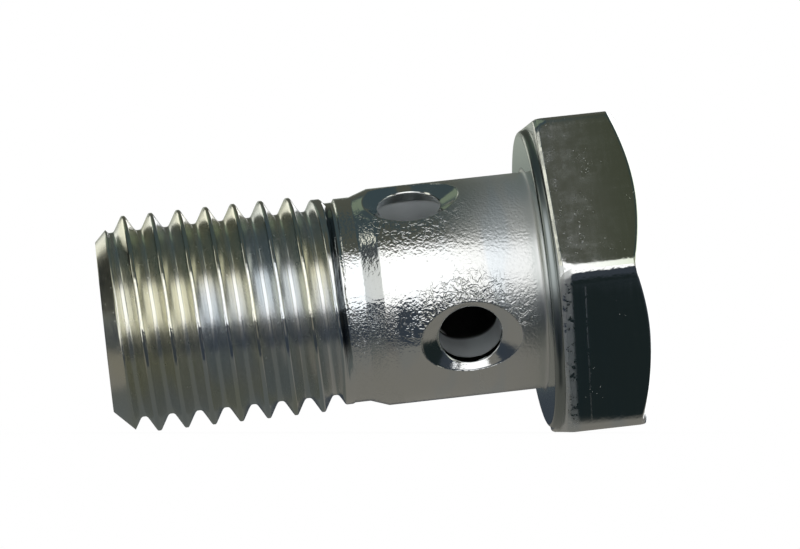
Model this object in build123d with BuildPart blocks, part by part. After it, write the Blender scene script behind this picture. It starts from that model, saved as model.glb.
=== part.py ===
from build123d import *
import os
from math import atan2, cos, degrees, pi, radians, tan

# Banjo bolt, M12 x 1.5: one piece, turned from hexagon bar, drilled up its axis
# from the thread end and cross-drilled twice under the head.
#
# It is drawn along +X, with the head on the +X side and the bearing face at X = 0.
# Its thread is drawn as a plain cylinder over the crests. It is then laid down as it
# comes to rest: on a flat of its head and on the crest of its thread, with +Z up.
# The origin is the centre of the bearing face. Millimetres.

# ---- Thread end -------------------------------------------------------------------
thread_radius = 5.93  # over the crests of an M12 thread
length_under_head = 23.6  # nominal 24, from the bearing face to the thread end
end_chamfer = 1.28

# ---- Neck and plain shank ---------------------------------------------------------
shank_radius = 5.95
shank_length = 8.6  # plain part under the head, that the banjo eye slides over
neck_cone_length = 1.0  # from the shank down to the neck
neck_radius = 5.62
neck_length = 1.0  # between the cone and the end of the thread
junction_fillet = 0.15  # between the shank and the bearing face

# ---- Head -------------------------------------------------------------------------
across_flats = 17.0
head_height = 5.6
corner_round = 0.85  # rounding of the six long edges
crown_inset = 0.75  # from the flats in to the round top face
crown_angle = 30.0  # of the chamfer round the top, from the top face
collar_inset = 0.17  # from the flats in to the washer face, turned on the underside
collar_height = 0.5
collar_round = 0.27
taper_width = 0.415  # the six corners draw in by this much at the flat underside
taper_angle = 14.0  # of that draw, from the head's axis

# ---- Oil way: blind axial bore ----------------------------------------------------
bore_radius = 3.0
bore_past_port = 0.2  # full bore beyond the port nearest the head
drill_point_angle = 118.0
bore_mouth_chamfer = 0.4

# ---- Oil ports: two cross holes, countersunk at both ends --------------------------
port_radius = 1.7
countersink_width = 1.065  # from the hole's edge to the countersink's rim
countersink_angle = 120.0
head_port_distance = 4.13  # from the bearing face to the axis of the first hole
port_stagger = 2.42  # from the first hole to the second, towards the thread
head_port_turn = 120.0  # of the first hole, from the bolt's top towards the front

# ---- Worked out -------------------------------------------------------------------
half_flats = across_flats / 2
crown_radius = half_flats - crown_inset
collar_radius = half_flats - collar_inset
crest_start = end_chamfer - length_under_head
neck_stop = -shank_length - neck_cone_length
thread_stop = neck_stop - neck_length
thread_step = thread_radius - neck_radius
bore_stop = bore_past_port + port_radius - head_port_distance
thread_port_distance = head_port_distance + port_stagger
thread_port_turn = head_port_turn - 90  # the two holes are square to each other
sharp_corner_radius = half_flats / cos(pi / 6)  # of the bar, before its edges are rounded

# Where the two cones that trim the head's corners reach the bar's sharp edges.
taper_stop = collar_height + taper_width / tan(radians(taper_angle))
crown_width = sharp_corner_radius - crown_radius
crown_start = head_height - crown_width * tan(radians(crown_angle))

# At rest the bolt leans on the near edge of a flat and on its first full crest.
rest_tilt = degrees(atan2(half_flats - thread_radius, collar_height - crest_start))


with BuildPart() as turned_bolt:
    # The head is hexagon bar, with its corners turned to a cone above and below.
    with BuildSketch(Plane.YZ) as bar_section:
        RegularPolygon(radius=half_flats, side_count=6, major_radius=False)
        fillet(bar_section.vertices(), radius=corner_round)
    extrude(amount=head_height)
    with BuildSketch(Plane.XZ) as head_envelope:
        with BuildLine():
            Polyline(
                (collar_height, 0),
                (collar_height, sharp_corner_radius - taper_width),
                (taper_stop, sharp_corner_radius),
                (crown_start, sharp_corner_radius),
                (head_height, crown_radius),
                (head_height, 0),
                close=True,
            )
        make_face()
    revolve(axis=Axis.X, mode=Mode.INTERSECT)

    # Everything under the head is one turned profile, from the end face to the collar,
    # drawn in the plane that holds the first port's axis.
    with BuildSketch(Plane.XZ.rotated((head_port_turn, 0, 0))) as profile:
        with BuildLine():
            Polyline(
                (-length_under_head, 0),
                (-length_under_head, thread_radius - end_chamfer),
                (crest_start, thread_radius),
                (thread_stop - thread_step, thread_radius),
                (thread_stop, neck_radius),
                (neck_stop, neck_radius),
                (-shank_length, shank_radius),
                (0, shank_radius),
                (0, collar_radius),
                (collar_height, collar_radius),
                (collar_height, 0),
                close=True,
            )
        make_face()
        root, rim = profile.vertices().filter_by_position(Axis.X, 0, 0).sort_by(Axis.Y)
        fillet(root, radius=junction_fillet)
        fillet(rim, radius=collar_round)
    revolve(axis=Axis.X)

    # The oil way, drilled from the thread end and stopping short of the head.
    with BuildSketch(Plane.XZ) as drill_profile:
        with BuildLine():
            Polyline(
                (-length_under_head, 0),
                (-length_under_head, bore_radius + bore_mouth_chamfer),
                (bore_mouth_chamfer - length_under_head, bore_radius),
                (bore_stop, bore_radius),
                (bore_stop + bore_radius / tan(radians(drill_point_angle / 2)), 0),
                close=True,
            )
        make_face()
    revolve(axis=Axis.X, mode=Mode.SUBTRACT)

    # The oil ports. Each cross hole is drilled and countersunk from both sides.
    for distance, turn in (
        (head_port_distance, head_port_turn),
        (thread_port_distance, thread_port_turn),
    ):
        for side in (turn, turn + 180):
            with Locations(Location((-distance, 0, 0), (side, 0, 0))):
                with Locations((0, 0, shank_radius)):
                    CounterSinkHole(
                        radius=port_radius,
                        counter_sink_radius=port_radius + countersink_width,
                        counter_sink_angle=countersink_angle,
                        depth=shank_radius,
                    )

with BuildPart() as banjo_bolt:
    add(turned_bolt.part, rotation=(0, -rest_tilt, 0))

banjo_bolt.part.label = "banjo_bolt"
os.makedirs("parts", exist_ok=True)
export_step(banjo_bolt.part, "parts/banjo_bolt.step")
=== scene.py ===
"""Looks of a banjo bolt, M12 x 1.5: one turned, cross-drilled and zinc-plated piece.

The bolt is worked out in its own axes, in millimetres: u runs along the axis from the
bearing face towards the head, and an angle a runs round it, from the front, upwards.
It is laid down, in metres, as it comes to rest: on a flat of its head and on its thread.
"""

import logging
import math
from collections.abc import Callable
from dataclasses import dataclass, field
from enum import Enum

import bmesh
import bpy
import numpy as np
from mathutils import Matrix, Vector


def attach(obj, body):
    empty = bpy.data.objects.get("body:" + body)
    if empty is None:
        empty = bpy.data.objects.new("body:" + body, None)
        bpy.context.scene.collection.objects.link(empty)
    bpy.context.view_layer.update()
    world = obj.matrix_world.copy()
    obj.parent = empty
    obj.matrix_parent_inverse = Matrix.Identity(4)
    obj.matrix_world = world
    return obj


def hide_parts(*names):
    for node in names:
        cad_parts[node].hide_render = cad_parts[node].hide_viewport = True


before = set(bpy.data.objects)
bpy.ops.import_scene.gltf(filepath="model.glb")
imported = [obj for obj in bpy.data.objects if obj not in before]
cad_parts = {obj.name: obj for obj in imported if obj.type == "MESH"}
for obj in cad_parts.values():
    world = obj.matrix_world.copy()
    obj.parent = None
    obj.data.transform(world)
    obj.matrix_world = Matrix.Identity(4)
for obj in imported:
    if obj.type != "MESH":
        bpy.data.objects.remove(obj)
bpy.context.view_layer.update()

log = logging.getLogger("banjo_bolt")
MM = 0.001  # in metres
AROUND = 180  # points round the axis in each ring
WELD = 2e-6  # metres within which points are one
SLIVER = 1e-7  # metres below which a face is nothing
SLACK = 1e-6  # millimetres by which two equal places may differ


# ---------------------------------------------------------------------------- lying
@dataclass(frozen=True)
class Lie:
    """How the bolt lies on the floor: its axis rises towards the head."""

    flat_reach: float = 8.5
    flat_edge: float = 0.5
    crest_reach: float = 5.93
    crest_start: float = -22.32

    @property
    def tilt(self) -> float:
        """Angle of the axis above the floor, in radians."""
        return math.atan2(self.flat_reach - self.crest_reach, self.flat_edge - self.crest_start)

    def to_world(self) -> Matrix:
        """The turn that takes the bolt's own axes to the frame's axes."""
        return Matrix.Rotation(-self.tilt, 4, "Y")

    def floor_height(self) -> float:
        """Height of the floor in the frame, in metres."""
        return (self.to_world() @ Vector((self.flat_edge, 0.0, -self.flat_reach))).z * MM


# ------------------------------------------------------------------------- mesh draft
class Draft:
    """Points and faces of one piece, gathered in the bolt's own axes."""

    def __init__(self) -> None:
        """Starts with nothing in it."""
        self.points: list[np.ndarray] = []
        self.faces: list[tuple[int, ...]] = []
        self.count = 0

    def row(self, points: np.ndarray) -> np.ndarray:
        """Adds a row of points.

        Args:
            points: An array of n points.

        Returns:
            The indices of the points.
        """
        ids = np.arange(self.count, self.count + len(points))
        self.points.append(np.asarray(points, dtype=float))
        self.count += len(points)
        return ids

    def quad(self, low: np.ndarray, high: np.ndarray, k: int) -> None:
        """Joins two rings by one quad, from their point k to the next."""
        m = (k + 1) % len(low)
        self.faces.append((int(low[k]), int(low[m]), int(high[m]), int(high[k])))

    def strip(self, low: np.ndarray, high: np.ndarray) -> None:
        """Joins two rings of the same length by quads."""
        for k in range(len(low)):
            self.quad(low, high, k)

    def loft(self, rows: list[np.ndarray]) -> list[np.ndarray]:
        """Adds rings of points and joins each to the next.

        Args:
            rows: Arrays of points, all of the same length.

        Returns:
            The indices of each ring.
        """
        ids = [self.row(points) for points in rows]
        for low, high in zip(ids, ids[1:]):
            self.strip(low, high)
        return ids

    def zip_rings(self, inner: np.ndarray, outer: np.ndarray,
                  inner_turns: np.ndarray, outer_turns: np.ndarray) -> None:
        """Joins two closed rings of different lengths by triangles.

        Args:
            inner: Indices of one ring, in order of rising turn.
            outer: Indices of the other ring, in order of rising turn.
            inner_turns: The turn of each point of the first ring.
            outer_turns: The turn of each point of the other ring.
        """
        full = 2 * math.pi
        n, m = len(inner), len(outer)
        shift = int(np.argmin(np.abs((outer_turns - inner_turns[0] + math.pi) % full - math.pi)))
        near = np.array([(inner_turns[k % n] - inner_turns[0]) % full for k in range(n)] + [full])
        far = np.array([(outer_turns[(shift + k) % m] - inner_turns[0] + math.pi) % full - math.pi
                        if k == 0 else (outer_turns[(shift + k) % m] - inner_turns[0]) % full
                        for k in range(m)])
        far = np.append(far, far[0] + full)
        i = j = 0
        while i < n or j < m:
            a, b = int(inner[i % n]), int(outer[(shift + j) % m])
            if j >= m or (i < n and near[i + 1] <= far[j + 1]):
                self.faces.append((a, int(inner[(i + 1) % n]), b))
                i += 1
            else:
                self.faces.append((a, int(outer[(shift + j + 1) % m]), b))
                j += 1

    def fan(self, ring: np.ndarray, centre: tuple[float, float, float]) -> None:
        """Closes a ring with triangles to one point.

        Args:
            ring: Indices of the ring.
            centre: The point in the middle.
        """
        middle = int(self.row(np.array([centre]))[0])
        for k, point in enumerate(ring):
            self.faces.append((int(point), int(ring[(k + 1) % len(ring)]), middle))

    def mesh(self, name: str, lie: Lie) -> bpy.types.Mesh:
        """Makes the mesh, laid down in the frame, in metres.

        Args:
            name: The mesh's name.
            lie: How the bolt lies.

        Returns:
            The mesh.
        """
        made = bpy.data.meshes.new(name)
        made.from_pydata((np.concatenate(self.points) * MM).tolist(), [], self.faces)
        made.transform(lie.to_world())
        made.update()
        return made


def turn_row(u: float | np.ndarray, radius: float | np.ndarray, turns: np.ndarray) -> np.ndarray:
    """Points round the axis.

    Args:
        u: Place along the axis, one for all or one each.
        radius: Distance from the axis, one for all or one each.
        turns: Angles from the front, upwards.

    Returns:
        An array of points in the bolt's own axes.
    """
    u = np.broadcast_to(u, turns.shape)
    radius = np.broadcast_to(radius, turns.shape)
    return np.stack([u, -radius * np.cos(turns), radius * np.sin(turns)], axis=1)


def even_turns(count: int) -> np.ndarray:
    """Angles of a ring of evenly spaced points."""
    return np.arange(count) * (2 * math.pi / count)


# ----------------------------------------------------------------------- plain shank
@dataclass
class Port:
    """One end of a cross hole, with its countersink and the span of the skin that it breaks."""

    along: float
    turn: float
    span: tuple[float, float]
    radius: float = 1.7
    sink_width: float = 1.065
    sink_angle: float = 120.0
    edge: float = 0.05

    def sink_slope(self) -> float:
        """Radius that the countersink gains for each millimetre outwards."""
        return math.tan(math.radians(self.sink_angle / 2))

    def sink_foot(self, surface: float) -> float:
        """Distance from the bolt's axis to the small end of the countersink."""
        return surface - self.sink_width / self.sink_slope()


@dataclass
class Shank:
    """The neck, the plain shank and the fillet under the head, with the oil ports in them."""

    stop: float = -10.45
    neck_stop: float = -9.6
    shank_start: float = -8.6
    neck_radius: float = 5.6
    radius: float = 5.95
    fillet: float = 0.15
    bore_radius: float = 3.0
    bore_stop: float = -2.23
    bore_start: float = -23.6
    mouth_chamfer: float = 0.4
    drill_point: float = 118.0
    bore_around: int = 108
    ports: list[Port] = field(default_factory=lambda: [
        Port(along, math.radians(turn + side), span)
        for along, turn, span in ((-4.13, -30.0, (-7.33, -0.93)), (-6.55, 60.0, (-9.35, -3.35)))
        for side in (0.0, 180.0)])
    stations: tuple[float, ...] = (
        -10.45, -10.4, -10.25, -10.05, -9.85, -9.75, -9.68, -9.6, -9.52, -9.45, -9.35, -9.1,
        -8.85, -8.74, -8.67, -8.6, -8.53, -8.45, -8.3, -8.0, -7.7, -7.33, -7.0, -6.7, -6.4, -6.1,
        -5.8, -5.5, -5.2, -4.9, -4.6, -4.3, -4.0, -3.7, -3.35, -3.05, -2.75, -2.45, -2.15, -1.85,
        -1.55, -1.25, -0.93, -0.7, -0.45, -0.25, -0.15)
    fillet_angles: tuple[float, ...] = (0.0, 22.5, 45.0, 67.5, 90.0)
    skin_half_turn: float = 26.0
    skin_shares: tuple[float, ...] = (0.0, 0.2, 0.4, 0.58, 0.74, 0.87, 0.96, 1.0)
    sink_shares: tuple[float, ...] = (0.0, 0.12, 0.4, 0.7, 0.9, 1.0)
    wall_shares: tuple[float, ...] = (0.0, 0.05, 0.35, 0.7, 1.0)
    wall_gap: float = 0.08
    bore_reach: float = 1.9
    bore_half_turn: float = 40.0
    bore_shares: tuple[float, ...] = (0.0, 0.35, 0.7, 0.92, 1.0)
    bore_step: float = 0.35
    point_shares: tuple[float, ...] = (0.0, 0.02, 0.3, 0.6, 0.9)
    mouth_edge: float = 0.02
    rim_rounds: int = 60
    rim_pace: float = 0.35

    def surface(self, u: np.ndarray) -> np.ndarray:
        """Radius of the outer surface along the axis."""
        return np.interp(u, [self.stop, self.neck_stop, self.shank_start, 0.0],
                         [self.neck_radius, self.neck_radius, self.radius, self.radius])

    def skin_block(self, port: Port) -> tuple[float, float, float]:
        """Place in the skin's grid of the patch round a port: its start, stop and half turn."""
        return *port.span, math.radians(self.skin_half_turn)

    def bore_block(self, port: Port) -> tuple[float, float, float]:
        """Place in the bore's grid of the patch round a port: its start, stop and half turn."""
        half = math.radians(self.bore_half_turn)
        return port.along - self.bore_reach, port.along + self.bore_reach, half

    def build(self, draft: Draft) -> tuple[np.ndarray, np.ndarray]:
        """Builds the shank and its oil ways.

        Args:
            draft: The draft to build in.

        Returns:
            The ring where the fillet meets the bearing face, and the ring at the bore's mouth.
        """
        turns = even_turns(AROUND)
        rings = [draft.row(turn_row(u, self.surface(np.array(u)), turns)) for u in self.stations]
        open_cells = self.cells_of_ports(turns, np.array(self.stations), self.skin_block)
        self.skin(draft, rings, open_cells)
        for port in self.ports:
            mouth = self.port_skin(draft, port, turns)
            self.bore_patch(draft, port, mouth)
        fillet = []
        for t in np.radians(self.fillet_angles):
            reach = self.radius + self.fillet * (1 - math.cos(t))
            fillet.append(turn_row(-self.fillet * (1 - math.sin(t)), reach, turns))
        foot = draft.loft(fillet)
        return foot[-1], self.bore(draft)

    def cells_of_ports(self, turns: np.ndarray, stations: np.ndarray,
                       block: Callable[[Port], tuple[float, float, float]]) -> np.ndarray:
        """Marks the cells of a grid that the patches round the ports take.

        Args:
            turns: Angles of the grid's lines.
            stations: Places of the grid's lines along the axis.
            block: Gives the start, stop and half turn of a port's patch.

        Returns:
            A table that is true where a cell belongs to a patch.
        """
        taken = np.zeros((len(stations) - 1, len(turns)), dtype=bool)
        middle_u = (stations[1:] + stations[:-1]) / 2
        middle_a = turns + math.pi / len(turns)
        for port in self.ports:
            start, stop, half = block(port)
            near = np.abs((middle_a - port.turn + math.pi) % (2 * math.pi) - math.pi) < half
            inside = (middle_u > start) & (middle_u < stop)
            taken |= inside[:, None] & near[None, :]
        return taken

    def skin(self, draft: Draft, rings: list[np.ndarray], taken: np.ndarray) -> None:
        """Joins rings by quads, leaving out the cells that are taken."""
        for i, (low, high) in enumerate(zip(rings, rings[1:])):
            for k in np.nonzero(~taken[i])[0]:
                draft.quad(low, high, k)

    def outline(self, stations: np.ndarray, turns: np.ndarray,
                block: tuple[float, float, float]) -> np.ndarray:
        """The grid points round a patch, in order, as places along and turns from its centre.

        Args:
            stations: Places of the grid's lines along the axis.
            turns: Angles of the grid's lines.
            block: The patch's start, stop and half turn.

        Returns:
            An array of places and turns.
        """
        start, stop, half = block
        step = 2 * math.pi / len(turns)
        across = np.arange(-round(half / step), round(half / step) + 1) * step
        along = stations[(stations > start - SLACK) & (stations < stop + SLACK)]
        right = [(along[-1], a) for a in across]
        top = [(u, across[-1]) for u in along[::-1][1:]]
        left = [(along[0], a) for a in across[::-1][1:]]
        bottom = [(u, across[0]) for u in along[1:-1]]
        return np.array(right + top + left + bottom)

    def rim(self, port: Port, way: np.ndarray) -> np.ndarray:
        """Radius, from the port's axis, of the countersink's edge on the outer surface.

        Args:
            port: The port.
            way: Directions round the port's axis.

        Returns:
            A radius for each direction.
        """
        foot = port.sink_foot(self.radius)
        reach = np.full(way.shape, port.radius + port.sink_width)
        for _ in range(self.rim_rounds):
            surface = self.surface(port.along + reach * np.cos(way))
            height = np.sqrt(np.maximum(surface**2 - (reach * np.sin(way))**2, 0.0))
            wanted = port.radius + (height - foot) * port.sink_slope()
            reach = reach + self.rim_pace * (wanted - reach)
        return reach

    def on_skin(self, port: Port, way: np.ndarray, reach: np.ndarray) -> np.ndarray:
        """Places along and turns from the port's axis of points on the outer surface."""
        u = port.along + reach * np.cos(way)
        return np.stack([u, np.arcsin(reach * np.sin(way) / self.surface(u))], axis=1)

    def in_port(self, port: Port, way: np.ndarray, reach: np.ndarray | float,
                height: np.ndarray | float) -> np.ndarray:
        """Points at a distance from a port's axis and at a height above the bolt's axis."""
        reach = np.broadcast_to(reach, way.shape)
        height = np.broadcast_to(height, way.shape)
        side = reach * np.sin(way)
        across = np.arctan2(side, height)
        return turn_row(port.along + reach * np.cos(way), np.hypot(side, height), port.turn + across)

    def port_skin(self, draft: Draft, port: Port, turns: np.ndarray) -> tuple[np.ndarray, np.ndarray]:
        """Builds the patch round a port, its countersink and its wall.

        Args:
            draft: The draft to build in.
            port: The port.
            turns: Angles of the outer grid's lines.

        Returns:
            The ring near the bore, and the direction of each of its points.
        """
        edge = self.outline(np.array(self.stations), turns, self.skin_block(port))
        way = np.arctan2(self.radius * np.sin(edge[:, 1]), edge[:, 0] - port.along)
        rim = self.rim(port, way)
        inner = self.on_skin(port, way, rim + port.edge)
        rows = []
        for f in self.skin_shares:
            place = edge * (1 - f) + inner * f
            rows.append(turn_row(place[:, 0], self.surface(place[:, 0]), port.turn + place[:, 1]))
        slope = port.sink_slope()
        foot = port.sink_foot(self.radius)
        lean = math.hypot(1.0, slope)

        def cone(reach: np.ndarray) -> np.ndarray:
            """Points on the countersink."""
            return self.in_port(port, way, reach, foot + (reach - port.radius) / slope)

        sharp = cone(rim)
        after = rim - port.edge * slope / lean
        rows.append((rows[-1] + cone(after)) / 4 + sharp / 2)
        low = port.radius + port.edge * slope / lean
        for f in self.sink_shares:
            rows.append(cone(after * (1 - f) + low * f))
        corner = self.in_port(port, way, port.radius, foot)
        wall = self.in_port(port, way, port.radius, foot - port.edge)
        rows.append((rows[-1] + wall) / 4 + corner / 2)
        across = port.radius * np.sin(way)
        lowest = np.sqrt(self.bore_radius**2 - across**2) + self.wall_gap
        for f in self.wall_shares:
            height = (foot - port.edge) * (1 - f) + lowest * f
            rows.append(self.in_port(port, way, port.radius, height))
        ids = draft.loft(rows)
        return ids[-1], way

    def bore_stations(self) -> np.ndarray:
        """Places of the bore's rings along the axis."""
        marks = {self.bore_start + self.mouth_chamfer, self.bore_stop}
        for port in self.ports:
            start, stop, _ = self.bore_block(port)
            marks |= {start, stop}
        ordered = sorted(marks)
        places = []
        for low, high in zip(ordered, ordered[1:]):
            count = max(1, math.ceil((high - low) / self.bore_step))
            places += [low + (high - low) * k / count for k in range(count)]
        return np.array(places + [ordered[-1]])

    def bore(self, draft: Draft) -> np.ndarray:
        """Builds the axial bore's wall, drill point and mouth, and gives the ring at its mouth."""
        turns = even_turns(self.bore_around)
        stations = self.bore_stations()
        rings = [draft.row(turn_row(u, self.bore_radius, turns)) for u in stations]
        taken = self.cells_of_ports(turns, stations, self.bore_block)
        self.skin(draft, rings, taken)
        depth = self.bore_radius / math.tan(math.radians(self.drill_point / 2))
        cone = draft.loft([turn_row(self.bore_stop + depth * f, self.bore_radius * (1 - f), turns)
                           for f in self.point_shares])
        draft.fan(cone[-1], (self.bore_stop + depth, 0.0, 0.0))
        start, reach, edge = self.bore_start, self.mouth_chamfer, self.mouth_edge
        return draft.loft([
            turn_row(start + reach, self.bore_radius, turns),
            turn_row(start + reach - edge, self.bore_radius + edge, turns),
            turn_row(start + edge, self.bore_radius + reach - edge, turns),
            turn_row(start, self.bore_radius + reach, turns)])[-1]

    def bore_patch(self, draft: Draft, port: Port, mouth: tuple[np.ndarray, np.ndarray]) -> None:
        """Builds the bore's wall round a port and joins it to the port's wall.

        Args:
            draft: The draft to build in.
            port: The port.
            mouth: The port's last ring, and the direction of each of its points.
        """
        turns = even_turns(self.bore_around)
        edge = self.outline(self.bore_stations(), turns, self.bore_block(port))
        way = np.arctan2(self.bore_radius * np.sin(edge[:, 1]), edge[:, 0] - port.along)
        reach = np.full(way.shape, port.radius)
        inner = np.stack([port.along + reach * np.cos(way),
                          np.arcsin(reach * np.sin(way) / self.bore_radius)], axis=1)
        rows = []
        for f in self.bore_shares:
            place = edge * (1 - f) + inner * f
            rows.append(turn_row(place[:, 0], self.bore_radius, port.turn + place[:, 1]))
        ids = draft.loft(rows)
        ring, ring_way = mouth
        order, ring_order = np.argsort(way % (2 * math.pi)), np.argsort(ring_way % (2 * math.pi))
        draft.zip_rings(ids[-1][order], ring[ring_order],
                        way[order] % (2 * math.pi), ring_way[ring_order] % (2 * math.pi))


# ------------------------------------------------------------------------------ head
@dataclass
class Head:
    """The hexagon head with its crown, its eased corners and its washer face."""

    half_flats: float = 8.5
    height: float = 5.6
    corner_round: float = 0.85
    crown_radius: float = 7.75
    crown_angle: float = 30.0
    collar_radius: float = 8.33
    collar_height: float = 0.5
    collar_round: float = 0.24
    collar_waist: float = 8.2
    corner_start: float = 9.5
    corner_draw: float = 14.0
    edge: float = 0.09
    under_drop: float = 0.11
    flat_steps: int = 20
    corner_steps: int = 10
    face_rings: tuple[float, ...] = (6.9, 7.5)
    ring_gap: float = 0.04
    rim_steps: int = 7
    flare_angles: tuple[float, ...] = (15.0, 30.0, 45.0, 60.0, 75.0, 90.0)
    under_rows: tuple[tuple[float, float], ...] = (
        (0.0, 1.0), (0.012, 0.85), (0.03, 0.78), (0.17, 0.08), (0.19, 0.02), (0.22, 0.0))
    side_rows: tuple[float, ...] = (0.75, 0.95, 1.15, 1.35, 1.6, 1.7)
    side_shares: tuple[float, ...] = (0.15, 0.4, 0.65, 0.85, 0.96, 1.0)
    crown_shares: tuple[float, ...] = (0.1, 0.5, 0.9)
    top_edge: tuple[float, float] = (0.12, 0.14)
    top_rings: tuple[float, ...] = (7.5, 6.5, 5.0, 3.5, 2.0, 0.8)
    bend_shares: tuple[float, ...] = (0.25, 0.5, 0.75)

    def section(self) -> np.ndarray:
        """The hexagon's outline with rounded corners, as points across the axis.

        Returns:
            An array of places, front-to-back and up, from the front corner upwards.
        """
        rounding = self.corner_round
        centre = (self.half_flats - self.corner_round) / math.cos(math.pi / 6)
        half = self.corner_steps // 2
        points = []
        for corner in range(6):
            lean = corner * math.pi / 3
            for k in range(-half, half):
                normal = lean + math.pi / 6 * k / half
                points.append((centre * math.cos(lean) + rounding * math.cos(normal),
                               centre * math.sin(lean) + rounding * math.sin(normal)))
            normal = lean + math.pi / 6
            following = lean + math.pi / 3
            first = np.array([centre * math.cos(lean), centre * math.sin(lean)])
            last = np.array([centre * math.cos(following), centre * math.sin(following)])
            out = rounding * np.array([math.cos(normal), math.sin(normal)])
            for k in range(self.flat_steps):
                points.append(tuple(first + out + (last - first) * k / self.flat_steps))
        return np.roll(np.array(points), -half, axis=0)

    def place(self, u: float | np.ndarray, section: np.ndarray) -> np.ndarray:
        """Points of a section at a place along the axis."""
        u = np.broadcast_to(u, section.shape[:1])
        return np.stack([u, -section[:, 0], section[:, 1]], axis=1)

    def build(self, draft: Draft) -> tuple[np.ndarray, np.ndarray]:
        """Builds the head, from the bearing face to the top.

        Args:
            draft: The draft to build in.

        Returns:
            The inner ring of the bearing face, and the turn of each of its points.
        """
        full = self.section()
        turns = np.arctan2(full[:, 1], full[:, 0])
        reach = np.hypot(full[:, 0], full[:, 1])
        unit = full / reach[:, None]
        rows = []
        for radius in (*self.face_rings, self.collar_waist - self.collar_round - self.ring_gap):
            rows.append(turn_row(0.0, radius, turns))
        for t in np.radians(np.linspace(0.0, 90.0, self.rim_steps)):
            rows.append(turn_row(self.collar_round * (1 - math.cos(t)),
                                 self.collar_waist - self.collar_round * (1 - math.sin(t)), turns))
        flare = self.collar_height - self.collar_round
        spread = self.collar_radius - self.collar_waist
        for t in np.radians(self.flare_angles):
            rows.append(turn_row(self.collar_round + flare * math.sin(t),
                                 self.collar_waist + spread * (1 - math.cos(t)), turns))

        def drawn(u: np.ndarray | float) -> np.ndarray:
            """Reach of the side at a place along the axis, with the corners drawn in below."""
            draw = math.tan(math.radians(self.corner_draw))
            return np.minimum(reach, self.corner_start + (u - self.collar_height) * draw)

        low = drawn(self.collar_height)
        inner_low = np.maximum(low - self.under_drop, self.collar_radius + self.ring_gap)
        for along, share in self.under_rows:
            side = drawn(self.collar_height + along) - (low - inner_low) * share
            rows.append(self.place(self.collar_height + along, unit * side[:, None]))
        crown = self.height - (reach - self.crown_radius) * math.tan(math.radians(self.crown_angle))
        for u in self.side_rows:
            rows.append(self.place(u, unit * drawn(u)[:, None]))
        drawn_stop = self.side_rows[-1]
        for f in self.side_shares:
            rows.append(self.place(drawn_stop + (crown - self.edge - drawn_stop) * f, full))
        lean = math.radians(self.crown_angle)
        before = self.place(crown - self.edge, full)
        after_reach = reach - self.edge * math.cos(lean)
        after = self.place(crown + self.edge * math.sin(lean), unit * after_reach[:, None])
        corner = self.place(crown, full)
        for t in self.bend_shares:
            rows.append(before * (1 - t)**2 + corner * 2 * t * (1 - t) + after * t**2)
        rows.append(after)
        outside, inside = self.top_edge
        for f in self.crown_shares:
            now = after_reach * (1 - f) + (self.crown_radius + outside) * f
            along = self.height - (now - self.crown_radius) * math.tan(lean)
            rows.append(self.place(along, unit * now[:, None]))
        start = turn_row(self.height - outside * math.tan(lean), self.crown_radius + outside, turns)
        stop = turn_row(self.height, self.crown_radius - inside, turns)
        sharp = turn_row(self.height, self.crown_radius, turns)
        for t in (0.0, *self.bend_shares, 1.0):
            rows.append(start * (1 - t)**2 + sharp * 2 * t * (1 - t) + stop * t**2)
        for radius in self.top_rings:
            rows.append(turn_row(self.height, radius, turns))
        ids = draft.loft(rows)
        draft.fan(ids[-1], (self.height, 0.0, 0.0))
        return ids[0], turns


# ---------------------------------------------------------------------------- thread
class Wire:
    """A number in a node tree, which Python's signs join to others by Math nodes."""

    def __init__(self, tree: bpy.types.NodeTree, source: bpy.types.NodeSocket | float) -> None:
        """Holds a socket or a plain number.

        Args:
            tree: The tree that new nodes go in.
            source: The socket that gives the number, or the number.
        """
        self.tree = tree
        self.source = source

    def math(self, operation: str, *others: "Wire | float", clamp: bool = False) -> "Wire":
        """Joins this number to others by a Math node."""
        node = self.tree.nodes.new("ShaderNodeMath")
        node.operation = operation
        node.use_clamp = clamp
        for slot, value in zip(node.inputs, (self, *others)):
            value = value.source if isinstance(value, Wire) else value
            if isinstance(value, (int, float)):
                slot.default_value = value
            else:
                self.tree.links.new(value, slot)
        return Wire(self.tree, node.outputs[0])

    def __add__(self, other: "Wire | float") -> "Wire":
        """Sum."""
        return self.math("ADD", other)

    def __sub__(self, other: "Wire | float") -> "Wire":
        """Difference."""
        return self.math("SUBTRACT", other)

    def __mul__(self, other: "Wire | float") -> "Wire":
        """Product."""
        return self.math("MULTIPLY", other)

    def __truediv__(self, other: "Wire | float") -> "Wire":
        """Quotient."""
        return self.math("DIVIDE", other)

    def over(self, level: float) -> "Wire":
        """1 above a level, and 0 below it."""
        return self.math("GREATER_THAN", level)

    def rest(self) -> "Wire":
        """What is left up to 1."""
        return self * -1.0 + 1.0

    def same(self, value: "Wire | float") -> "Wire":
        """A value as a number of this tree."""
        return value if isinstance(value, Wire) else Wire(self.tree, value)

    def eased(self, start: "Wire | float", stop: "Wire | float") -> "Wire":
        """0 before start, 1 after stop, and smooth between them."""
        part = (self - start).math("DIVIDE", self.same(stop) - start, clamp=True)
        return part * part * (part * -2.0 + 3.0)

    def toward(self, other: "Wire | float", share: "Wire") -> "Wire":
        """This number at share 0, and the other one at share 1."""
        return self + (self.same(other) - self) * share

    def within(self, span: tuple[float, float], soft: float) -> "Wire":
        """1 inside a span and 0 outside it, with a soft edge centred on each end."""
        half = soft / 2
        rise = self.eased(span[0] - half, span[0] + half)
        return rise * self.eased(span[1] - half, span[1] + half).rest()


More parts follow.
